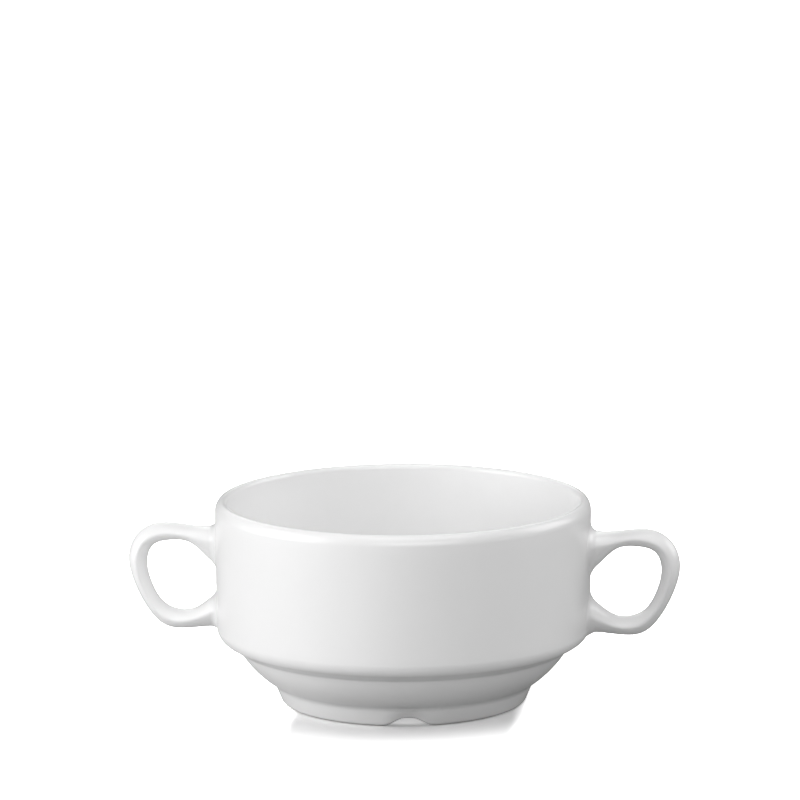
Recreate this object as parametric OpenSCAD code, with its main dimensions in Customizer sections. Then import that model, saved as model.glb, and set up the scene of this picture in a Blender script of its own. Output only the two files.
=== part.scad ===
// Lug soup bowl: a turned stacking body with a stepped foot, and two cast loop lugs
// that are stuck to its wall with clay slip. The bowl stands on z = 0 on its own axis,
// and the lugs reach out along +X and -X.

/* [Bowl] */
// Outer diameter at the rim
rim_d = 108.6; // [100:0.2:118]
// Height from the table to the top of the lip
bowl_h = 59; // [57:0.2:66]
// Thickness of the side wall
wall_t = 3.4; // [2.8:0.1:4.2]
// How much the outer radius shrinks from the lip down to the shoulder
wall_taper = 0.2; // [0:0.05:0.8]
// Height of the lip's rounding on the outside
lip_h = 3.3; // [1.6:0.1:4.5]
// Height of the lip's rounding on the inside
lip_inner_h = 1.5; // [0.8:0.1:3]

/* [Stacking step] */
// Height at which the straight wall ends and the shoulder starts
shoulder_z = 22.2; // [20:0.2:24]
// Radius of the rounded shoulder
shoulder_r = 4.4; // [3:0.1:5]
// Width of the step, from the wall in to the belly
step_w = 6.1; // [5.6:0.1:7]
// Slope of the step's underside, in degrees from the horizontal
step_slope = 30; // [20:1:34]
// Radius of the hollow corner between the step and the belly
step_corner_r = 1.8; // [1:0.1:2.4]

/* [Belly and foot] */
// Width of the belly, from the step's corner in to the foot
belly_w = 10.4; // [8:0.2:12]
// Radius of the belly's outward curve
belly_curve_r = 31; // [24:1:60]
// Height of the foot, from the table to the belly
foot_h = 5.6; // [4.6:0.1:6.4]
// How far the foot's outer face leans in, from the belly to the table
foot_lean = 2.3; // [1:0.1:3]
// Radius of the hollow corner between the belly and the foot
foot_corner_r = 1.2; // [0.8:0.1:1.8]
// Radius of the foot's outer bottom edge
foot_edge_r = 1.6; // [0.8:0.1:2]
// Width of the foot ring at the table, edges included
foot_ring_w = 4.6; // [4:0.1:6]
// Radius of the foot's inner bottom edge
foot_inner_edge_r = 0.9; // [0.5:0.1:1.2]
// How far the foot ring's inner face leans in towards the recess
foot_inner_lean = 1.1; // [0:0.1:2]
// Depth of the recess under the bowl
recess_h = 3.4; // [3:0.1:3.8]
// Radius of the hollow corner around the recess
recess_corner_r = 1.5; // [0.8:0.1:2]

/* [Inside] */
// Thickness of the floor above the recess
floor_t = 3.6; // [3:0.1:5]
// Radius of the curve from the inner wall to the floor
inner_curve_r = 28; // [26:1:30]
// How much the inner radius shrinks from the lip down to the floor
inner_taper = 0.6; // [0:0.1:1.2]

/* [Drain notches] */
// How many notches are cut through the foot ring
notch_count = 2; // [1:1:4]
// Height of a notch
notch_h = 2.4; // [1.6:0.1:2.8]
// Width of the flat top of a notch
notch_top_w = 1.6; // [1:0.2:5]
// Width of each rounded flank of a notch
notch_flank_w = 6.6; // [4:0.2:8]
// Direction of the first notch, in degrees from -Y towards +X
notch_turn = 7.5; // [0:0.5:30]

/* [Lugs] */
// How far a lug stands out from the wall
lug_reach = 25.7; // [23:0.1:29]
// Height of a lug from its lowest point to its highest
lug_h = 31.4; // [29:0.1:33]
// How far a lug's lowest point lies below the start of the shoulder
lug_low = 2.3; // [1:0.1:3]
// Width of a lug's arm, across the loop
arm_w = 8.6; // [6.5:0.1:10]
// Width of a lug at its roots
root_w = 12.6; // [10.6:0.1:14]
// Distance from the wall over which a root narrows to the arm's width
root_len = 9; // [6:0.5:12]
// How far an arm's oval section is drawn out into a crest on either side, where 0 is a plain oval
crest_share = 0.25; // [0:0.05:0.4]

/* [Slip joints] */
// Thickness of the slip between a lug's root and the wall
slip_t = 0.4; // [0.3:0.05:0.6]
// Radius of the slip's hollow fillet around a root
slip_fillet_r = 2.2; // [1.6:0.1:2.8]
// Thickness of the fillet's edges where it ends on the lug and on the wall
slip_edge_t = 0.15; // [0.1:0.05:0.25]

/* [Hidden] */

glaze_white = [0.93, 0.93, 0.92];
lug_white = [0.88, 0.89, 0.9];
slip_white = [0.8, 0.79, 0.76];

// Facets of the turned body, of its rounded corners and of its belly
turn_fn = 180;
corner_steps = 8;
lip_steps = 12;
belly_steps = 14;
// Rows along one span of a lug's rail, points around its section, and steps of a slip fillet
span_rows = 4;
ring_points = 30;
fillet_steps = 6;
// Tries that home in on the row where a lug is a given gap away from the wall
homing_tries = 14;
// One overrun for every cut
cut_over = 1;

// How much of the wall's thickness the lip's outer rounding takes
lip_outer_share = 0.64;

rim_r = rim_d / 2;
shoulder_top_r = rim_r - wall_taper;
shoulder_axis_r = shoulder_top_r - shoulder_r;
// Where the rounded shoulder runs out into the step's sloping underside
shoulder_end_r = shoulder_axis_r + shoulder_r * sin(step_slope);
shoulder_end_z = shoulder_z - shoulder_r * cos(step_slope);
belly_top_r = shoulder_top_r - step_w;
belly_top_z = shoulder_end_z - (shoulder_end_r - belly_top_r) * tan(step_slope);
foot_top_r = belly_top_r - belly_w;
foot_face_r = foot_top_r - foot_lean;
ring_inner_r = foot_face_r - foot_ring_w;
recess_r = ring_inner_r - foot_inner_lean;
floor_z = recess_h + floor_t;
wall_inner_r = rim_r - wall_t;
crest_r = rim_r - wall_t * lip_outer_share;
wall_top_z = bowl_h - lip_h;
lug_z = shoulder_z - lug_low;

// Points of an oval's arc about c, of half width w and half height h, from angle a0 to angle a1
function oval_arc(c, w, h, a0, a1, steps) =
    [for (i = [0 : steps]) let (a = a0 + (a1 - a0) * i / steps) c + [w * cos(a), h * sin(a)]];

// The same of a circle of radius r
function arc(c, r, a0, a1, steps) = oval_arc(c, r, r, a0, a1, steps);

// Points of the arc of radius r that bulges outwards from p to q
function bulge(p, q, r, steps) =
    let (
        half = norm(q - p) / 2,
        along = (q - p) / norm(q - p),
        c = (p + q) / 2 - sqrt(r * r - half * half) * [along[1], -along[0]],
        a0 = atan2(p[1] - c[1], p[0] - c[0]),
        a1 = atan2(q[1] - c[1], q[0] - c[0])
    )
    arc(c, r, a0, a1, steps);

// Points of the rounding of radius r at corner p, between its neighbours before and after
function rounding(before, p, after, r, steps) =
    let (
        u = (before - p) / norm(before - p),
        v = (after - p) / norm(after - p),
        half = acos(u * v) / 2,
        c = p + (u + v) / norm(u + v) * r / sin(half),
        p0 = p + u * r / tan(half),
        p1 = p + v * r / tan(half),
        a0 = atan2(p0[1] - c[1], p0[0] - c[0]),
        turn = atan2(p1[1] - c[1], p1[0] - c[0]) - a0,
        a1 = a0 + (turn > 180 ? turn - 360 : turn < -180 ? turn + 360 : turn)
    )
    arc(c, r, a0, a1, steps);

// The outside of the body from the foot's face up to the lip, as (radius, height) points
belly = bulge([foot_top_r, foot_h], [belly_top_r, belly_top_z], belly_curve_r, belly_steps);
shoulder = arc([shoulder_axis_r, shoulder_z], shoulder_r, step_slope - 90, 0, corner_steps * 2);
outer_side = concat(
    rounding([foot_face_r, 0], belly[0], belly[1], foot_corner_r, corner_steps),
    [for (i = [1 : belly_steps - 1]) belly[i]],
    rounding(belly[belly_steps - 1], belly[belly_steps], shoulder[0], step_corner_r, corner_steps),
    shoulder,
    oval_arc([crest_r, wall_top_z], rim_r - crest_r, lip_h, 0, 90, lip_steps)
);

// The inside of the body from the lip down to the middle of the floor
inner_side = concat(
    oval_arc([crest_r, bowl_h - lip_inner_h], crest_r - wall_inner_r, lip_inner_h, 90, 180, lip_steps),
    rounding([wall_inner_r, bowl_h - lip_inner_h], [wall_inner_r - inner_taper, floor_z], [0, floor_z],
             inner_curve_r, corner_steps * 3),
    [[0, floor_z]]
);

// The underside of the body from the middle of the recess out to the foot's face
under_side = concat(
    [[0, recess_h]],
    rounding([0, recess_h], [recess_r, recess_h], [ring_inner_r, 0], recess_corner_r, corner_steps),
    rounding([recess_r, recess_h], [ring_inner_r, 0], [foot_face_r, 0], foot_inner_edge_r, corner_steps),
    rounding([ring_inner_r, 0], [foot_face_r, 0], [foot_top_r, foot_h], foot_edge_r, corner_steps)
);

// Distance of a (radius, height) point from the wall and its rounded shoulder
function wall_gap(p) =
    p[1] > shoulder_z
    ? p[0] - shoulder_top_r - wall_taper * (p[1] - shoulder_z) / (wall_top_z - shoulder_z)
    : norm(p - [shoulder_axis_r, shoulder_z]) - shoulder_r;

// Direction straight out of the wall and its rounded shoulder at a (radius, height) point
function wall_out(p) =
    let (arm = p - [shoulder_axis_r, shoulder_z])
    p[1] > shoulder_z ? [1, 0] : arm / norm(arm);

// The two rails of a lug, outer and inner, as control points of a smooth curve from the upper
// root out, round and back to the lower root: shares of the reach beyond the rim's radius, and
// shares of the lug's height above its lowest point
outer_rail_shares = [
    [-0.23, 0.99], [-0.10, 0.99], [0.05, 0.96], [0.23, 0.96], [0.47, 0.99], [0.71, 1.00],
    [0.93, 0.89], [1.03, 0.67], [0.96, 0.44], [0.82, 0.20], [0.62, 0.00], [0.38, -0.01],
    [0.18, 0.01], [0.05, 0.02], [-0.10, 0.00], [-0.23, -0.03]
];
inner_rail_shares = [
    [-0.23, 0.46], [-0.10, 0.54], [0.05, 0.62], [0.16, 0.71], [0.30, 0.83], [0.53, 0.83],
    [0.74, 0.80], [0.81, 0.62], [0.75, 0.43], [0.64, 0.24], [0.46, 0.17], [0.28, 0.17],
    [0.15, 0.24], [0.05, 0.31], [-0.10, 0.39], [-0.23, 0.43]
];
rail_spans = len(outer_rail_shares) - 3;
last_row = rail_spans * span_rows;
// Rows of a root, the stretch of lug that a slip joint goes round
root_rows = 2 * span_rows;

function lug_point(share) = [rim_r + lug_reach * share[0], lug_z + lug_h * share[1]];

// A point on the smooth curve that follows the control points of a rail
function rail_point(shares, row) =
    let (
        i = min(floor(row / span_rows), rail_spans - 1),
        t = row / span_rows - i,
        s = 1 - t
    )
    lug_point((s * s * s * shares[i]
        + (3 * t * t * t - 6 * t * t + 4) * shares[i + 1]
        + (3 * s * s * s - 6 * s * s + 4) * shares[i + 2]
        + t * t * t * shares[i + 3]) / 6);

// Half the width of the lug at a distance from the wall
function half_width(out) =
    let (near = max(0, 1 - max(0, out) / root_len))
    arm_w / 2 + (root_w - arm_w) / 2 * near * near;

// A cosine or sine bent by a power, which draws an oval out into a crest on either side
function crested(x, power) = sign(x) * pow(abs(x), power);

// A point of a lug's surface at an angle around one section, and the direction out of it there
function lug_spot(row, a) =
    let (
        outer = rail_point(outer_rail_shares, row),
        inner = rail_point(inner_rail_shares, row),
        mid = (outer + inner) / 2,
        half = (outer - inner) / 2,
        wide = half_width(mid[0] - rim_r),
        side = half / norm(half) / norm(half) * crested(cos(a), 1 - crest_share),
        reach = half * crested(cos(a), 1 + crest_share)
    )
    [
        [mid[0] + reach[0], wide * crested(sin(a), 1 + crest_share), mid[1] + reach[1]],
        [side[0], crested(sin(a), 1 - crest_share) / wide, side[1]]
    ];

// One oval section of a lug, spanned by its two rails
function lug_ring(row) = [for (k = [0 : ring_points - 1]) lug_spot(row, 360 * k / ring_points)[0]];

// A point's (radius, height)
function side_view(p) = [norm([p[0], p[1]]), p[2]];

// Row at which the lug is a gap away from the wall, between a row in the wall and one outside it
function row_at(gap, a, sunk, clear, tries) =
    let (row = (sunk + clear) / 2)
    tries == 0 ? row
    : wall_gap(side_view(lug_spot(row, a)[0])) < gap ? row_at(gap, a, row, clear, tries - 1)
    : row_at(gap, a, sunk, row, tries - 1);

// A point of a slip fillet: a distance off the lug along the wall, and a gap away from the wall
function fillet_spot(gap, off, a, sunk, clear) =
    let (
        spot = lug_spot(row_at(gap, a, sunk, clear, homing_tries), a),
        p = side_view(spot[0]),
        out = wall_out(p),
        outward = [out[0] * spot[0][0] / p[0], out[0] * spot[0][1] / p[0], out[1]],
        along = spot[1] - spot[1] * outward * outward,
        moved = spot[0] + off * along / norm(along),
        q = side_view(moved),
        back = wall_out(q) * (gap - wall_gap(q)),
        grow = 1 + back[0] / q[0]
    )
    [moved[0] * grow, moved[1] * grow, moved[2] + back[1]];

// The rings of a slip fillet, as hollow arcs from the wall out to the lug; the first is in the wall
function fillet_rings(sunk, clear) =
    let (
        start = acos(1 - slip_edge_t / slip_fillet_r),
        levels = concat(
            [[-2 * slip_t, slip_fillet_r * (1 - sin(start))]],
            [for (i = [0 : fillet_steps])
                let (a = start + (90 - 2 * start) * i / fillet_steps)
                slip_fillet_r * [1 - cos(a), 1 - sin(a)]]
        )
    )
    [for (level = levels)
        [for (k = [0 : ring_points - 1])
            fillet_spot(level[0], level[1], 360 * k / ring_points, sunk, clear)]];

// The solid that a row of rings spans, closed to a middle point at both ends
module skin(rings) {
    last = len(rings) - 1;
    ones = [for (k = [1 : ring_points]) 1];
    points = concat([for (ring = rings) each ring], [for (i = [0, last]) ones * rings[i] / ring_points]);
    start_middle = (last + 1) * ring_points;
    faces = [for (k = [0 : ring_points - 1])
        let (next = (k + 1) % ring_points, end = last * ring_points)
        each concat(
            [for (a = [0 : ring_points : end - 1])
                each [[a + k, a + next, a + ring_points + next],
                      [a + k, a + ring_points + next, a + ring_points + k]]],
            [[start_middle, next, k], [start_middle + 1, end + k, end + next]]
        )];
    polyhedron(points, faces);
}

// The stretch of lug between two rows
module sweep(first, last) {
    skin([for (row = [first : last]) lug_ring(row)]);
}

// What the outside of the body fills, grown outwards by off; lug roots are cut by it
module body_space(off) {
    grow = [off, 0];
    rotate_extrude($fn = turn_fn)
        polygon(concat(
            [[0, belly_top_z]],
            [for (p = shoulder) p + grow],
            [[rim_r + off, bowl_h], [0, bowl_h]]
        ));
}

// One notch across the foot ring, straight through along -Y, with smooth flanks
module drain_notch() {
    half_top = notch_top_w / 2;
    flank = [for (i = [0 : corner_steps])
        let (share = i / corner_steps)
        [half_top + notch_flank_w * share, notch_h * (1 + cos(180 * share)) / 2]];
    outline = concat(
        flank,
        [[half_top + notch_flank_w, -cut_over], [-half_top - notch_flank_w, -cut_over]],
        [for (i = [corner_steps : -1 : 0]) [-flank[i][0], flank[i][1]]]
    );
    translate([0, -ring_inner_r + recess_corner_r + foot_inner_lean, 0])
        rotate([90, 0, 0])
            linear_extrude(height = foot_ring_w + foot_lean + recess_corner_r + foot_inner_lean + cut_over)
                polygon(outline);
}

module lug() {
    difference() {
        sweep(0, last_row);
        body_space(slip_t);
    }
}

// The slip round a root, given as a solid fillet and the rows of lug in it
module slip_joint(rings, first) {
    difference() {
        skin(rings);
        body_space(0);
        difference() {
            sweep(first, first + root_rows);
            body_space(slip_t);
        }
    }
}

module upper_joint() {
    slip_joint(fillet_rings(0, root_rows), 0);
}

module lower_joint() {
    rings = fillet_rings(last_row, last_row - root_rows);
    slip_joint([for (i = [len(rings) - 1 : -1 : 0]) rings[i]], last_row - root_rows);
}

module bowl_body() {
    color(glaze_white)
        difference() {
            rotate_extrude($fn = turn_fn)
                polygon(concat(under_side, outer_side, inner_side));
            for (i = [0 : notch_count - 1])
                rotate([0, 0, notch_turn + 360 * i / notch_count])
                    drain_notch();
        }
}

module right_lug() {
    color(lug_white) lug();
}

module left_lug() {
    color(lug_white) rotate([0, 0, 180]) lug();
}

module right_upper_joint() {
    color(slip_white) upper_joint();
}

module right_lower_joint() {
    color(slip_white) lower_joint();
}

module left_upper_joint() {
    color(slip_white) rotate([0, 0, 180]) upper_joint();
}

module left_lower_joint() {
    color(slip_white) rotate([0, 0, 180]) lower_joint();
}

bowl_body();
left_lug();
right_lug();
left_upper_joint();
left_lower_joint();
right_upper_joint();
right_lower_joint();
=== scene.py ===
import math

import bpy
from mathutils import Matrix, Vector


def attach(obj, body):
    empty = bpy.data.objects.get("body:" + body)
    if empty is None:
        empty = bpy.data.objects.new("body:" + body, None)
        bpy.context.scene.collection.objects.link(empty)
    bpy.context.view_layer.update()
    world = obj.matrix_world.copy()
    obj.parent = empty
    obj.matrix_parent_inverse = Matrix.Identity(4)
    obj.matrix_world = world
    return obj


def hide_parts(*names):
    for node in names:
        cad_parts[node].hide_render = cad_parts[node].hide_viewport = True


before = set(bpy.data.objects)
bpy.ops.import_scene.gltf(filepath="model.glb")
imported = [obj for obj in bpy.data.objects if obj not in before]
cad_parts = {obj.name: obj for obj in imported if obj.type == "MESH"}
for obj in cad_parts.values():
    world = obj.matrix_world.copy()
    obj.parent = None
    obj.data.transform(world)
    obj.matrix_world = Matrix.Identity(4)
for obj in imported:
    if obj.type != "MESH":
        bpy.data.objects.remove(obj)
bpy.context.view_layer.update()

mm = 0.001


# The table. A wide sheet of matt board carries the bowl and runs out past every view. The
# camera sees it overexposed to plain white, with the lamps' shadow close under the foot kept and
# deepened by painted shade, and painted light wiping the shadow out beside the foot and under the
# drain notches; to the bowl it is a middle grey, with a paler card on the left that throws some
# key light up under it.
board_radius = 6.0
board_corners = 96
board_grey = 0.35
card_grey = 0.56
card_reach = (-10 * mm, -40 * mm)
# What the camera sees. Each pair of levels is followed by the distances over which it runs
# Painted shade: the camera's white is lower close to the foot, which deepens the shadow there
board_white = (1.01, 1.3)
white_reach = (40 * mm, 60 * mm)
# Painted light: extra white beside the foot wipes out the shadow there; far out it keeps the board even
more_white = (0, 3.0)
shadow_aside = 2.4 * mm
side_reach = (30 * mm, 37 * mm)
open_reach = (60 * mm, 110 * mm)
board_glow = (0.02, 1.0)
glow_reach = (0.35, 1.6)
# Painted light: a glow under the foot, seen through the drain notches where the bowl shades the board
painted_under_glow = (0.48, 0)
under_reach = (30 * mm, 35 * mm)

bpy.ops.object.select_all(action="DESELECT")
bpy.ops.mesh.primitive_circle_add(vertices=board_corners, radius=board_radius, fill_type="NGON")
board = bpy.context.object
board.name = "white_board"

board_paint = bpy.data.materials.new("matt_white_board")
board_paint.use_nodes = True
nodes, links = board_paint.node_tree.nodes, board_paint.node_tree.links
paint = nodes["Principled BSDF"]
paint.inputs["Roughness"].default_value = 1.0
paint.inputs["Specular IOR Level"].default_value = 0.0
paint.inputs["Emission Color"].default_value = (1, 1, 1, 1)
rays = nodes.new("ShaderNodeLightPath")
place = nodes.new("ShaderNodeTexCoord")
far = nodes.new("ShaderNodeVectorMath")
far.operation = "LENGTH"
across = nodes.new("ShaderNodeSeparateXYZ")
links.new(place.outputs["Object"], far.inputs[0])
links.new(place.outputs["Object"], across.inputs[0])


# These add to the nodes of whichever material or group is being made
def worked_out(operation, *terms):
    """A level worked out from others, each a socket or a plain number."""
    step = nodes.new("ShaderNodeMath")
    step.operation = operation
    for socket, term in zip(step.inputs, terms):
        if isinstance(term, (int, float)):
            socket.default_value = term
        else:
            links.new(term, socket)
    return step.outputs[0]


def ramped(level, reach, ends=(0, 1), shape="LINEAR"):
    """A level that runs from one end to the other while the given one crosses a reach."""
    ramp = nodes.new("ShaderNodeMapRange")
    ramp.interpolation_type = shape
    ramp.inputs["From Min"].default_value, ramp.inputs["From Max"].default_value = reach
    ramp.inputs["To Min"].default_value, ramp.inputs["To Max"].default_value = ends
    links.new(level, ramp.inputs["Value"])
    return ramp.outputs[0]


def mixed(factor, low, high):
    """A colour between two others, each a socket or a plain colour."""
    mix = nodes.new("ShaderNodeMix")
    mix.data_type = "RGBA"
    links.new(factor, mix.inputs["Factor"])
    for socket, colour in ((mix.inputs[6], low), (mix.inputs[7], high)):
        if isinstance(colour, tuple):
            socket.default_value = colour
        else:
            links.new(colour, socket)
    return mix.outputs[2]


# White to the camera, with painted shade and painted light: less white close to the foot in front
# and behind, which deepens the shadow there, more beside it, which whites out the shadow there, and
# farther out. The glow lifts the board far out, and a painted glow lights it where it shows through
# the drain notches
out = far.outputs["Value"]
aside = worked_out("ABSOLUTE", worked_out("SUBTRACT", across.outputs["X"], shadow_aside))
# Painted light beside the foot
painted_light_beside = ramped(aside, side_reach, more_white, "SMOOTHSTEP")
farther = ramped(out, open_reach, more_white, "SMOOTHSTEP")
# Painted shade close to the foot
painted_shade_close = ramped(out, white_reach, board_white, "SMOOTHSTEP")
seen = worked_out("ADD", painted_shade_close, worked_out("MAXIMUM", painted_light_beside, farther))
lit = ramped(across.outputs["X"], card_reach, (board_grey, card_grey), "SMOOTHSTEP")
links.new(mixed(rays.outputs["Is Camera Ray"], lit, seen), paint.inputs["Base Color"])
far_glow = ramped(out, glow_reach, board_glow, "SMOOTHSTEP")
# Painted light under the foot, where the notches show the board
painted_notch_light = ramped(out, under_reach, painted_under_glow, "SMOOTHSTEP")
glow = worked_out("MULTIPLY", rays.outputs["Is Camera Ray"], worked_out("ADD", far_glow, painted_notch_light))
links.new(glow, paint.inputs["Emission Strength"])
board.data.materials.append(board_paint)


# The studio round the table. A dim room, so the glaze has something to mirror between the
# lamps; the camera alone sees it as white.
room_light = 0.12

room = bpy.data.worlds.new("studio_room")
bpy.context.scene.world = room
room.use_nodes = True
nodes, links = room.node_tree.nodes, room.node_tree.links
fill = nodes["Background"]
fill.inputs["Color"].default_value = (1, 1, 1, 1)
fill.inputs["Strength"].default_value = room_light
backdrop = nodes.new("ShaderNodeBackground")
backdrop.inputs["Color"].default_value = (1, 1, 1, 1)
backdrop.inputs["Strength"].default_value = 1.0
rays = nodes.new("ShaderNodeLightPath")
either = nodes.new("ShaderNodeMixShader")
links.new(rays.outputs["Is Camera Ray"], either.inputs["Fac"])
links.new(fill.outputs[0], either.inputs[1])
links.new(backdrop.outputs[0], either.inputs[2])
links.new(either.outputs[0], nodes["World Output"].inputs["Surface"])


# The lamps. Soft boxes on stands round the table, each turned to the middle of the bowl. The
# key stands low on the left with a strip under it, a wide box behind the camera, one hangs
# overhead, and two fill from the right and from behind.
look_height = 30 * mm


def soft_box(name, turn, rise, distance, width, height, power):
    """A soft box at a compass turn from -Y towards +X and a rise above the table, in degrees."""
    around = math.radians(turn)
    up = math.radians(rise)
    flat = math.cos(up)
    aim = Vector((0, 0, look_height))
    place = aim + distance * Vector((math.sin(around) * flat, -math.cos(around) * flat, math.sin(up)))
    lamp = bpy.data.lights.new(name, "AREA")
    lamp.shape = "RECTANGLE"
    lamp.size = width
    lamp.size_y = height
    lamp.energy = power
    stand = bpy.data.objects.new(name, lamp)
    bpy.context.scene.collection.objects.link(stand)
    stand.location = place
    stand.rotation_euler = (aim - place).to_track_quat("-Z", "Y").to_euler()


soft_box("key_box", turn=-65, rise=18, distance=0.9, width=0.7, height=0.6, power=4.2)
soft_box("low_left_box", turn=-78, rise=4, distance=0.8, width=0.8, height=0.2, power=1.3)
soft_box("wide_front", turn=15, rise=20, distance=1.7, width=1.4, height=0.6, power=9.2)
soft_box("overhead_box", turn=20, rise=72, distance=1.1, width=1.0, height=0.9, power=5.2)
soft_box("right_box", turn=110, rise=25, distance=1.0, width=0.6, height=0.6, power=3.4)
soft_box("back_box", turn=190, rise=35, distance=1.3, width=1.0, height=0.6, power=3.2)


# The camera. A long lens in front of the bowl and a little above it, a few degrees round
# towards the right lug, aimed above the bowl so that the bowl stands low in the picture.
camera_distance = 1528.3 * mm
camera_turn = math.radians(5.5)
camera_rise = math.radians(12.52)
aimed_aside = math.radians(0.025)
aimed_up = math.radians(2.132)
rolled = math.radians(0.328)
farthest_seen = 50
# A lens and its film are given in millimetres
lens_length = 237.6
film_width = 36.0

lens = bpy.data.cameras.new("long_lens")
lens.sensor_width = film_width
lens.lens = lens_length
lens.clip_end = farthest_seen
camera = bpy.data.objects.new("camera", lens)
bpy.context.scene.collection.objects.link(camera)
camera.location = (
    camera_distance * math.cos(camera_rise) * math.sin(camera_turn),
    -camera_distance * math.cos(camera_rise) * math.cos(camera_turn),
    camera_distance * math.sin(camera_rise) + look_height,
)
turned = Matrix.Rotation(camera_turn + aimed_aside, 3, "Z")
tilted = Matrix.Rotation(math.pi / 2 - camera_rise + aimed_up, 3, "X")
camera.rotation_euler = (turned @ tilted @ Matrix.Rotation(-rolled, 3, "Z")).to_euler()
bpy.context.scene.camera = camera
bpy.context.scene.view_settings.view_transform = "Standard"


# The fired glaze. One shader group for every piece: clear white glass on a white clay, with a
# slow waviness, a few fine specks, a slightly darker white that clouds at random, and painted
# shade: the same darker white where a corner is hollow.
glaze_white = (0.87, 0.87, 0.87, 1)
shaded_white = (0.828, 0.828, 0.828, 1)
speck_brown = (0.42, 0.36, 0.30, 1)
bare_clay = (0.74, 0.71, 0.66, 1)
glaze_ior = 1.5
gloss_ends = (0.22, 0.28)
bare_rough = 0.75
wave_scale, wave_detail = 70, 2
peel_scale, peel_detail = 620, 1
sand_scale, sand_detail = 4200, 3
speck_scale = 150
speck_rarity = 0.985
speck_edge = (0.05, 0.015)
cloud_edge = (0.3, 0.7)
cloud_depth = 0.16
peel_share = 0.06
wave_depth = 0.02 * mm

glaze = bpy.data.node_groups.new("fired_glaze", "ShaderNodeTree")
glaze.interface.new_socket("Painted_shade", in_out="INPUT", socket_type="NodeSocketFloat")
glaze.interface.new_socket("Bare", in_out="INPUT", socket_type="NodeSocketFloat")
glaze.interface.new_socket("Colour", in_out="OUTPUT", socket_type="NodeSocketColor")
glaze.interface.new_socket("Roughness", in_out="OUTPUT", socket_type="NodeSocketFloat")
glaze.interface.new_socket("Normal", in_out="OUTPUT", socket_type="NodeSocketVector")
nodes, links = glaze.nodes, glaze.links
given = nodes.new("NodeGroupInput")
result = nodes.new("NodeGroupOutput")
place = nodes.new("ShaderNodeTexCoord")


def noise(scale, detail):
    """A noise that runs all over the piece."""
    texture = nodes.new("ShaderNodeTexNoise")
    texture.inputs["Scale"].default_value = scale
    texture.inputs["Detail"].default_value = detail
    links.new(place.outputs["Object"], texture.inputs["Vector"])
    return texture.outputs["Fac"]


waves = noise(wave_scale, wave_detail)

# Few of the cells hold a speck, and it is a fraction of a millimetre across
cells = nodes.new("ShaderNodeTexVoronoi")
cells.inputs["Scale"].default_value = speck_scale
links.new(place.outputs["Object"], cells.inputs["Vector"])
chosen = nodes.new("ShaderNodeSeparateColor")
links.new(cells.outputs["Color"], chosen.inputs["Color"])
rare = worked_out("GREATER_THAN", chosen.outputs[0], speck_rarity)
speck = worked_out("MULTIPLY", rare, ramped(cells.outputs["Distance"], speck_edge))

# Painted shade from the hollow corners, added to a darker white that clouds at random
shade_and_cloud = worked_out("ADD", given.outputs["Painted_shade"], ramped(waves, cloud_edge, (0, cloud_depth)))
shade_and_cloud.node.use_clamp = True
specked = mixed(speck, mixed(shade_and_cloud, glaze_white, shaded_white), speck_brown)
links.new(mixed(given.outputs["Bare"], specked, bare_clay), result.inputs["Colour"])

rough = nodes.new("ShaderNodeMix")
rough.inputs["B"].default_value = bare_rough
links.new(given.outputs["Bare"], rough.inputs["Factor"])
links.new(ramped(waves, (0, 1), gloss_ends), rough.inputs["A"])
links.new(rough.outputs[0], result.inputs["Roughness"])

rippled = worked_out("MULTIPLY_ADD", noise(peel_scale, peel_detail), peel_share, waves)
sandy = worked_out("MULTIPLY", noise(sand_scale, sand_detail), given.outputs["Bare"])
relief = nodes.new("ShaderNodeBump")
relief.inputs["Strength"].default_value = 1.0
relief.inputs["Distance"].default_value = wave_depth
links.new(worked_out("ADD", rippled, sandy), relief.inputs["Height"])
links.new(relief.outputs["Normal"], result.inputs["Normal"])


def glazed(name):
    """A material with the fired glaze, and the glaze's node in it."""
    coat = bpy.data.materials.new(name)
    coat.use_nodes = True
    shell = coat.node_tree.nodes["Principled BSDF"]
    shell.inputs["IOR"].default_value = glaze_ior
    finish = coat.node_tree.nodes.new("ShaderNodeGroup")
    finish.node_tree = glaze
    coat.node_tree.links.new(finish.outputs["Colour"], shell.inputs["Base Color"])
    coat.node_tree.links.new(finish.outputs["Roughness"], shell.inputs["Roughness"])
    coat.node_tree.links.new(finish.outputs["Normal"], shell.inputs["Normal"])
    return coat, finish


# The turned body. White vitrified clay, pressed and turned in one piece: a straight wall with
# a rounded lip, a stacking step, a bulging belly and a foot ring with a recess under the floor.
rim_r = 54.3 * mm
bowl_h = 59.0 * mm
wall_t = 3.4 * mm
wall_taper = 0.2 * mm
inner_taper = 0.6 * mm
lip_h = 3.3 * mm
lip_inner_h = 1.5 * mm
lip_crest_share = 0.64
shoulder_z = 22.2 * mm
shoulder_r = 4.4 * mm
step_w = 6.1 * mm
step_slope = math.radians(30)
step_corner_r = 2.6 * mm
belly_w = 10.4 * mm
belly_curve_r = 31 * mm
foot_h = 5.6 * mm
foot_lean = 2.3 * mm
foot_corner_r = 4.0 * mm
foot_edge_r = 1.6 * mm
foot_ring_w = 4.6 * mm
foot_inner_edge_r = 0.9 * mm
foot_inner_lean = 1.1 * mm
recess_h = 3.4 * mm
recess_corner_r = 1.5 * mm
floor_t = 3.6 * mm
inner_curve_r = 28 * mm

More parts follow.
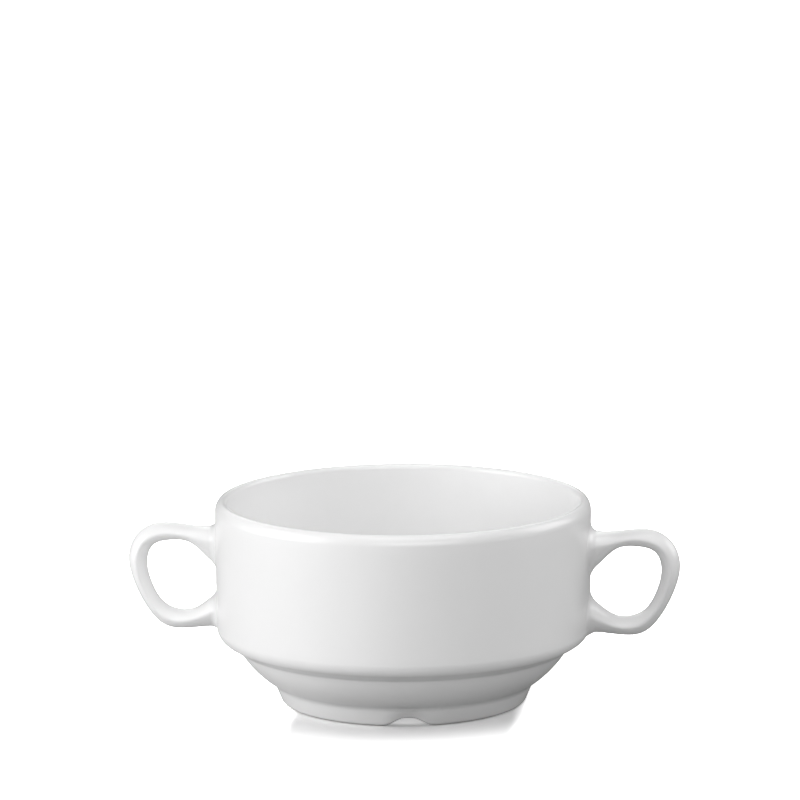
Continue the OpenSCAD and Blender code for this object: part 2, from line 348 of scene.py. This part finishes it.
crest_r = rim_r - lip_crest_share * wall_t
shoulder_top_r = rim_r - wall_taper
shoulder_axis_r = shoulder_top_r - shoulder_r
shoulder_end = Vector((
    shoulder_axis_r + shoulder_r * math.sin(step_slope),
    shoulder_z - shoulder_r * math.cos(step_slope),
))
belly_top = Vector((shoulder_top_r - step_w, 0))
belly_top.y = shoulder_end.y - (shoulder_end.x - belly_top.x) * math.tan(step_slope)
foot_top = Vector((belly_top.x - belly_w, foot_h))
foot_face = Vector((foot_top.x - foot_lean, 0))
ring_inner = Vector((foot_face.x - foot_ring_w, 0))
recess_edge = Vector((ring_inner.x - foot_inner_lean, recess_h))
recess_middle = Vector((0, recess_h))
wall_inner_r = rim_r - wall_t
wall_top_z = bowl_h - lip_h
lip_inner_z = bowl_h - lip_inner_h
floor_z = recess_h + floor_t
floor_corner = Vector((wall_inner_r - inner_taper, floor_z))


def oval_arc(center, half_w, half_h, start, end, steps):
    """Points of an oval's arc, from one angle to another in degrees."""
    angles = [math.radians(start + (end - start) * i / steps) for i in range(steps + 1)]
    return [Vector((center[0] + half_w * math.cos(a), center[1] + half_h * math.sin(a))) for a in angles]


def rounded(before, corner, after, radius, steps):
    """Points of the rounding at a corner between its two neighbours."""
    u = (Vector(before) - Vector(corner)).normalized()
    v = (Vector(after) - Vector(corner)).normalized()
    half = u.angle(v) / 2
    center = Vector(corner) + (u + v).normalized() * radius / math.sin(half)
    first = Vector(corner) + u * radius / math.tan(half) - center
    turn = math.pi - 2 * half
    if u.x * v.y - u.y * v.x > 0:
        turn = -turn
    return [center + Matrix.Rotation(turn * i / steps, 2) @ first for i in range(steps + 1)]


def bulge(low, high, radius, steps):
    """Points of the arc that bulges outwards from a low point to a high one."""
    half = (high - low) / 2
    side = Vector((-half.y, half.x)).normalized()
    center = (low + high) / 2 + side * math.sqrt(radius ** 2 - half.length_squared)
    turn = 2 * math.asin(half.length / radius)
    return [center + Matrix.Rotation(turn * i / steps, 2) @ (low - center) for i in range(steps + 1)]


# The outline runs from the middle of the recess, under the foot and up the outside, over the
# lip and down the inside. The hollows take the place of the belly's first and last points
turned_steps = 384
edge_steps = 8
corner_steps = 10
belly_steps = 16
shoulder_steps = 18
wall_rows = 8
lip_steps = 14
inner_lip_steps = 12
inner_curve_steps = 32
recess_shares = (0.4, 0.75)
floor_shares = (0.3, 0.15, 0)
belly_cut = 2
closest = 0.02 * mm
welded = 0.005 * mm

belly = bulge(foot_top, belly_top, belly_curve_r, belly_steps)
shoulder_start = math.degrees(step_slope) - 90
shoulder = oval_arc((shoulder_axis_r, shoulder_z), shoulder_r, shoulder_r, shoulder_start, 0, shoulder_steps)
drawn = (
    [recess_middle]
    + [Vector((recess_edge.x * share, recess_h)) for share in recess_shares]
    + rounded(recess_middle, recess_edge, ring_inner, recess_corner_r, edge_steps)
    + rounded(recess_edge, ring_inner, foot_face, foot_inner_edge_r, edge_steps)
    + rounded(ring_inner, foot_face, foot_top, foot_edge_r, corner_steps)
    + rounded(foot_face, foot_top, belly[belly_cut], foot_corner_r, corner_steps)
    + belly[belly_cut:-belly_cut]
    + rounded(belly[-belly_cut - 1], belly_top, shoulder[0], step_corner_r, corner_steps)
    + shoulder
    + [shoulder[-1].lerp(Vector((rim_r, wall_top_z)), i / wall_rows) for i in range(1, wall_rows)]
    + oval_arc((crest_r, wall_top_z), rim_r - crest_r, lip_h, 0, 90, lip_steps)
    + oval_arc((crest_r, lip_inner_z), crest_r - wall_inner_r, lip_inner_h, 90, 180, inner_lip_steps)
    + rounded((wall_inner_r, lip_inner_z), floor_corner, (0, floor_z), inner_curve_r, inner_curve_steps)
    + [Vector((floor_corner.x * share, floor_z)) for share in floor_shares]
)
turned_outline = [drawn[0]]
for point in drawn[1:]:
    if (point - turned_outline[-1]).length > closest:
        turned_outline.append(point)

bpy.ops.object.select_all(action="DESELECT")
bpy.ops.mesh.primitive_plane_add(size=wall_t, location=(0, 0, recess_h))
turned_body = bpy.context.object
turned_body.name = "turned_body"
bpy.ops.object.transform_apply(location=True, rotation=True, scale=True)
bpy.ops.object.mode_set(mode="EDIT")
bpy.ops.mesh.select_all(action="SELECT")
bpy.ops.mesh.merge(type="CENTER")
for here, there in zip(turned_outline, turned_outline[1:]):
    bpy.ops.mesh.extrude_region_move(
        TRANSFORM_OT_translate={"value": (there.x - here.x, 0, there.y - here.y), "orient_type": "GLOBAL"}
    )
bpy.ops.mesh.select_all(action="SELECT")
bpy.ops.mesh.spin(steps=turned_steps, angle=2 * math.pi, center=(0, 0, 0), axis=(0, 0, 1))
bpy.ops.mesh.select_all(action="SELECT")
bpy.ops.mesh.remove_doubles(threshold=welded)
bpy.ops.mesh.normals_make_consistent(inside=False)
bpy.ops.object.mode_set(mode="OBJECT")

# The two drain notches, wiped through the foot ring while it is soft: the ring's underside is
# lifted over the notch and runs back down to the table in a smooth curve on either side
notch_h = 2.4 * mm
notch_top_w = 1.6 * mm
notch_flank_w = 6.6 * mm
notch_turn = math.radians(7.5)
notch_foot_h = 5.2 * mm
for vertex in turned_body.data.vertices:
    spot = Matrix.Rotation(-notch_turn, 3, "Z") @ vertex.co
    radius = math.hypot(spot.x, spot.y)
    reach_up = recess_h if radius < (ring_inner.x + foot_face.x) / 2 else notch_foot_h
    if spot.z < reach_up and radius > recess_edge.x - recess_corner_r:
        flank = min(max((abs(spot.x) - notch_top_w / 2) / notch_flank_w, 0), 1)
        lift = notch_h * (1 + math.cos(math.pi * flank)) / 2
        vertex.co.z += lift * (1 - spot.z / reach_up)

# Painted shade: a darker white in the hollow corners under the step, above the foot and at the
# edge of the recess, strongest in the corner and fading out
shaded_hollows = ((belly_top, 2.6 * mm), (foot_top, 2.2 * mm), (recess_edge, 3.0 * mm))
darkest_shade = 0.8
shade_fade = 1.5
painted_corner_shade = turned_body.data.attributes.new("painted_corner_shade", "FLOAT", "POINT")
for vertex in turned_body.data.vertices:
    spot = Vector((math.hypot(vertex.co.x, vertex.co.y), vertex.co.z))
    shade_here = max(max(0, 1 - (spot - corner).length / spread) for corner, spread in shaded_hollows)
    painted_corner_shade.data[vertex.index].value = darkest_shade * shade_here ** shade_fade
bpy.ops.object.shade_smooth()

body_glaze, finish = glazed("white_glazed_body")
nodes, links = body_glaze.node_tree.nodes, body_glaze.node_tree.links
# Painted shade, read from the corners worked out above
painted_shade_read = nodes.new("ShaderNodeAttribute")
painted_shade_read.attribute_name = "painted_corner_shade"
links.new(painted_shade_read.outputs["Fac"], finish.inputs["Painted_shade"])

# The foot is wiped free of glaze where it stands in the kiln, up to an uneven line
wipe_scale, wipe_detail = 160, 2
wipe_uneven = 0.25 * mm
wipe_edge = (0.12 * mm, 0.04 * mm)
place = nodes.new("ShaderNodeTexCoord")
above = nodes.new("ShaderNodeSeparateXYZ")
links.new(place.outputs["Object"], above.inputs[0])
wiped = worked_out("MULTIPLY_ADD", noise(wipe_scale, wipe_detail), -wipe_uneven, above.outputs["Z"])
links.new(ramped(wiped, wipe_edge), finish.inputs["Bare"])
turned_body.data.materials.append(body_glaze)
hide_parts("bowl_body")
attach(turned_body, "root")


# The two lugs. Loop handles cast in clay, with a soft crest along either side, which lies higher
# towards the wall, and wide roots, stuck on opposite sides with slip. One is drawn out ring by
# ring and its copy turned.
lug_reach = 25.7 * mm
lug_low = 2.3 * mm
lug_h = 31.4 * mm
arm_w = 8.6 * mm
root_w = 12.6 * mm
root_len = 9 * mm
crest_share = 0.25
upper_crest_share = 0.45
lower_crest_share = 0.2
lug_z = shoulder_z - lug_low
outer_rail_shares = (
    (-0.23, 0.99), (-0.10, 0.99), (0.05, 0.96), (0.23, 0.96), (0.47, 0.99), (0.71, 1.00),
    (0.93, 0.89), (1.03, 0.67), (0.96, 0.44), (0.82, 0.20), (0.62, 0.00), (0.38, -0.01),
    (0.18, 0.01), (0.05, 0.02), (-0.10, 0.00), (-0.23, -0.03),
)
inner_rail_shares = (
    (-0.23, 0.46), (-0.10, 0.54), (0.05, 0.62), (0.16, 0.71), (0.30, 0.83), (0.53, 0.83),
    (0.74, 0.80), (0.81, 0.62), (0.75, 0.43), (0.64, 0.24), (0.46, 0.17), (0.28, 0.17),
    (0.15, 0.24), (0.05, 0.31), (-0.10, 0.39), (-0.23, 0.43),
)

# The rings' control stations: middle, half height, half width, and how far the crest lies up
# the section, which is most at the wall. The loop starts and ends inside the wall's thickness
stations = []
for outer, inner in zip(outer_rail_shares, inner_rail_shares):
    top = Vector((rim_r + lug_reach * outer[0], lug_z + lug_h * outer[1]))
    low = Vector((rim_r + lug_reach * inner[0], lug_z + lug_h * inner[1]))
    near = max(0, 1 - max(0, (top.x + low.x) / 2 - rim_r) / root_len)
    wide = arm_w / 2 + (root_w - arm_w) / 2 * near ** 2
    middle, half = (top + low) / 2, (top - low) / 2
    raised = half * near * (upper_crest_share if half.y > 0 else -lower_crest_share)
    stations.append(Vector((*middle, *half, wide, *raised)))
first_ring = (stations[0] + 4 * stations[1] + stations[2]) / 6
last_ring = (stations[-3] + 4 * stations[-2] + stations[-1]) / 6
stations = (
    [2 * first_ring - stations[2], first_ring] + stations[2:-2] + [last_ring, 2 * last_ring - stations[-3]]
)

# The section is an oval drawn out to a crest on each side. Smoothing pulls its corners in, so
# they are set out until the smoothed section lies where it should. The last number of a corner
# is how much it takes part where the crest is raised
ring_corners = 16
set_out_rounds = 30
smooth_levels = 3


def drawn_out(share):
    """A cosine or sine for an oval that is drawn out to a crest."""
    return math.copysign(abs(share) ** (1 + crest_share), share)


turns = [2 * math.pi * k / ring_corners for k in range(ring_corners)]
aimed_section = [Vector((drawn_out(math.cos(turn)), drawn_out(math.sin(turn)))) for turn in turns]
section = aimed_section[:]
for _ in range(set_out_rounds):
    section = [
        here + aimed - (section[k - 1] + 4 * here + section[(k + 1) % ring_corners]) / 6
        for k, (here, aimed) in enumerate(zip(section, aimed_section))
    ]
section = [Vector((corner.x, corner.y, 1 - corner.x ** 2)) for corner in section]

bpy.ops.object.select_all(action="DESELECT")
bpy.ops.mesh.primitive_circle_add(vertices=ring_corners, radius=1, fill_type="NOTHING")
right_lug = bpy.context.object
right_lug.name = "right_lug_casting"
for vertex in right_lug.data.vertices:
    k = round(math.atan2(vertex.co.y, vertex.co.x) * ring_corners / (2 * math.pi)) % ring_corners
    vertex.co = (section[k].x, section[k].y, 0)
bpy.ops.object.mode_set(mode="EDIT")
bpy.ops.mesh.select_all(action="SELECT")
# Each ring is drawn out from the last, laid level again, brought to its size and leaned over
at, lean, long, wide = Vector((0, 0, 0)), 0, 1, 1
for number, station in enumerate(stations[1:-1]):
    x, z, half_x, half_z, half_y = station[:5]
    to = Vector((x, 0, z))
    half = Vector((half_x, half_z))
    step = to - at
    if number == 0:
        bpy.ops.transform.translate(value=step, orient_type="GLOBAL")
    else:
        bpy.ops.mesh.extrude_region_move(TRANSFORM_OT_translate={"value": step, "orient_type": "GLOBAL"})
        bpy.ops.transform.rotate(value=lean, orient_axis="Y", orient_type="GLOBAL", center_override=to)
    grown = (half.length / long, half_y / wide, 1)
    bpy.ops.transform.resize(value=grown, orient_type="GLOBAL", center_override=to)
    lean = math.atan2(-half.y, half.x)
    bpy.ops.transform.rotate(value=-lean, orient_axis="Y", orient_type="GLOBAL", center_override=to)
    at, long, wide = to, half.length, half_y
bpy.ops.object.mode_set(mode="OBJECT")

# The crest is raised ring by ring, and the rings are smoothed into one casting
for vertex in right_lug.data.vertices:
    x, z, half_x, half_z, half_y, up_x, up_z = stations[1 + vertex.index // ring_corners]
    half = Vector((half_x, 0, half_z))
    along = (vertex.co - Vector((x, 0, z))).dot(half) / half.length_squared
    vertex.co += (1 - along ** 2) * Vector((up_x, 0, up_z))
bpy.ops.object.modifier_add(type="SUBSURF")
smoother = right_lug.modifiers[-1]
smoother.levels = smooth_levels
smoother.render_levels = smooth_levels
bpy.ops.object.modifier_apply(modifier=smoother.name)
bpy.ops.object.mode_set(mode="EDIT")
bpy.ops.mesh.select_all(action="SELECT")
bpy.ops.mesh.fill_holes(sides=0)
bpy.ops.mesh.select_all(action="SELECT")
bpy.ops.mesh.normals_make_consistent(inside=False)
bpy.ops.object.mode_set(mode="OBJECT")
bpy.ops.object.shade_smooth()

# Glaze of the lugs, with the faint fettled seam of the two-part mould down the middle
seam_half_w = 0.7 * mm
seam_h = 0.015 * mm
lug_glaze, finish = glazed("white_glazed_lug")
nodes, links = lug_glaze.node_tree.nodes, lug_glaze.node_tree.links
place = nodes.new("ShaderNodeTexCoord")
across = nodes.new("ShaderNodeSeparateXYZ")
links.new(place.outputs["Object"], across.inputs[0])
aside = worked_out("ABSOLUTE", across.outputs["Y"])
ridge = nodes.new("ShaderNodeBump")
ridge.inputs["Distance"].default_value = seam_h
links.new(ramped(aside, (seam_half_w, 0), shape="SMOOTHSTEP"), ridge.inputs["Height"])
links.new(finish.outputs["Normal"], ridge.inputs["Normal"])
links.new(ridge.outputs["Normal"], nodes["Principled BSDF"].inputs["Normal"])
right_lug.data.materials.append(lug_glaze)


def pick(piece):
    """Select one piece alone, ready to work on."""
    bpy.ops.object.select_all(action="DESELECT")
    piece.select_set(True)
    bpy.context.view_layer.objects.active = piece


def left_copy(piece, name):
    """A copy of a piece with its own mesh, turned half way round to the left side."""
    pick(piece)
    bpy.ops.object.duplicate(linked=False)
    copy = bpy.context.object
    copy.name = name
    copy.rotation_euler = (0, 0, math.pi)
    bpy.ops.object.transform_apply(location=True, rotation=True, scale=True)
    return copy


left_lug = left_copy(right_lug, "left_lug_casting")
for casting, node in ((right_lug, "right_lug"), (left_lug, "left_lug")):
    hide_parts(node)
    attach(casting, "root")


# The four slip joints. Clay slip squeezed out round each root and wiped with a wet sponge into
# a hollow fillet that runs out smoothly on the wall and on the lug, then glazed over. Its edges
# dip a hair into both, and its back is tucked into the wall.
slip_fillet_r = 2.2 * mm
margin = 0.3 * mm
dip = 0.01 * mm
tucked = 0.06 * mm
behind = 0.9 * mm
slip_painted_shade = 0.3
fillet_corners = 160
fillet_steps = 14
root_rows = 2
halvings = 22


def spline_sum(corners, parts):
    """Four neighbouring corners of a smooth curve taken together, each by its part in sixths."""
    return sum((corner * part for corner, part in zip(corners[1:], parts[1:])), corners[0] * parts[0]) / 6


def spot_parts(t):
    """The parts of four corners for the spot at a share of the way between the middle two."""
    s = 1 - t
    return (s ** 3, 3 * t ** 3 - 6 * t ** 2 + 4, 3 * s ** 3 - 6 * s ** 2 + 4, t ** 3)


def heading_parts(t):
    """The parts of four corners for the direction in which the curve runs there."""
    s = 1 - t
    return (-s ** 2, 3 * t ** 2 - 4 * t, 4 * s - 3 * s ** 2, t ** 2)


def along_lug(row, angle):
    """A point of the lug's surface and the direction out of it, at a row of its stations."""
    first = min(int(row), len(stations) - 4)
    x, z, half_x, half_z, half_y, up_x, up_z = spline_sum(stations[first:first + 4], spot_parts(row - first))
    turn = angle * ring_corners / (2 * math.pi)
    k = int(turn)
    near = [section[(k + i) % ring_corners] for i in (-1, 0, 1, 2)]
    spot = spline_sum(near, spot_parts(turn - k))
    on = spline_sum(near, heading_parts(turn - k))
    thick = half_x ** 2 + half_z ** 2
    along = on.x + on.z * (half_x * up_x + half_z * up_z) / thick
    return (
        Vector((x + half_x * spot.x + up_x * spot.z, half_y * spot.y, z + half_z * spot.x + up_z * spot.z)),
        Vector((half_x * on.y / thick, -along / half_y, half_z * on.y / thick)),
    )


def off_wall(point):
    """How far a point is off the wall and its shoulder, and the direction straight out of them."""
    radius = math.hypot(point.x, point.y)
    out = Vector((1, 0))
    gap = radius - shoulder_top_r - wall_taper * (point.z - shoulder_z) / (wall_top_z - shoulder_z)
    if point.z < shoulder_z:
        arm = Vector((radius - shoulder_axis_r, point.z - shoulder_z))
        out = arm.normalized()
        gap = arm.length - shoulder_r
    return gap, Vector((out.x * point.x / radius, out.x * point.y / radius, out.y))


def fillet_spot(gap, off, angle, sunk, clear):
    """A point of a fillet: off the lug along the wall, and a gap away from the wall."""
    for _ in range(halvings):
        row = (sunk + clear) / 2
        spot, normal = along_lug(row, angle)
        if off_wall(spot)[0] < gap:
            sunk = row
        else:
            clear = row
    outward = off_wall(spot)[1]
    spot = spot + off * (normal - normal.dot(outward) * outward).normalized()
    now, outward = off_wall(spot)
    return spot + (gap - now) * outward


def slip_fillet(name, sunk, clear):
    """The closed band of slip round the root between two rows of the lug."""
    # Corners of the band's section, each with its gap to the wall and how far it is off the lug
    arc = [math.radians(90 * i / fillet_steps) for i in range(fillet_steps + 1)]
    loop = (
        [(-tucked, slip_fillet_r + margin), (-dip, slip_fillet_r + margin)]
        + [(slip_fillet_r * (1 - math.cos(a)) - dip, slip_fillet_r * (1 - math.sin(a)) - dip) for a in arc]
        + [(slip_fillet_r + margin, -dip), (slip_fillet_r, -behind), (-tucked, -behind)]
    )
    corners = [2 * math.pi * k / fillet_corners for k in range(fillet_corners)]
    points = [fillet_spot(gap, off, a, sunk, clear) for gap, off in loop for a in corners]
    faces = []
    for i in range(len(loop)):
        here = i * fillet_corners
        there = (i + 1) % len(loop) * fillet_corners
        for k in range(fillet_corners):
            after = (k + 1) % fillet_corners
            faces.append((here + k, here + after, there + after, there + k))
    mesh = bpy.data.meshes.new(name)
    mesh.from_pydata(points, [], faces)
    band = bpy.data.objects.new(name, mesh)
    bpy.context.scene.collection.objects.link(band)
    pick(band)
    bpy.ops.object.mode_set(mode="EDIT")
    bpy.ops.mesh.select_all(action="SELECT")
    bpy.ops.mesh.normals_make_consistent(inside=False)
    bpy.ops.object.mode_set(mode="OBJECT")
    bpy.ops.object.shade_smooth()
    return band


slip_glaze, finish = glazed("white_glazed_slip")
# Painted shade: the slip fillets between lug and wall get part of the darker white
finish.inputs["Painted_shade"].default_value = slip_painted_shade

last_row = len(stations) - 3
for level, sunk, clear in (("upper", 0, root_rows), ("lower", last_row, last_row - root_rows)):
    right_band = slip_fillet(f"right_{level}_slip", sunk, clear)
    right_band.data.materials.append(slip_glaze)
    left_band = left_copy(right_band, f"left_{level}_slip")
    for side, band in (("right", right_band), ("left", left_band)):
        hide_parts(f"{side}_{level}_joint")
        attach(band, "root")
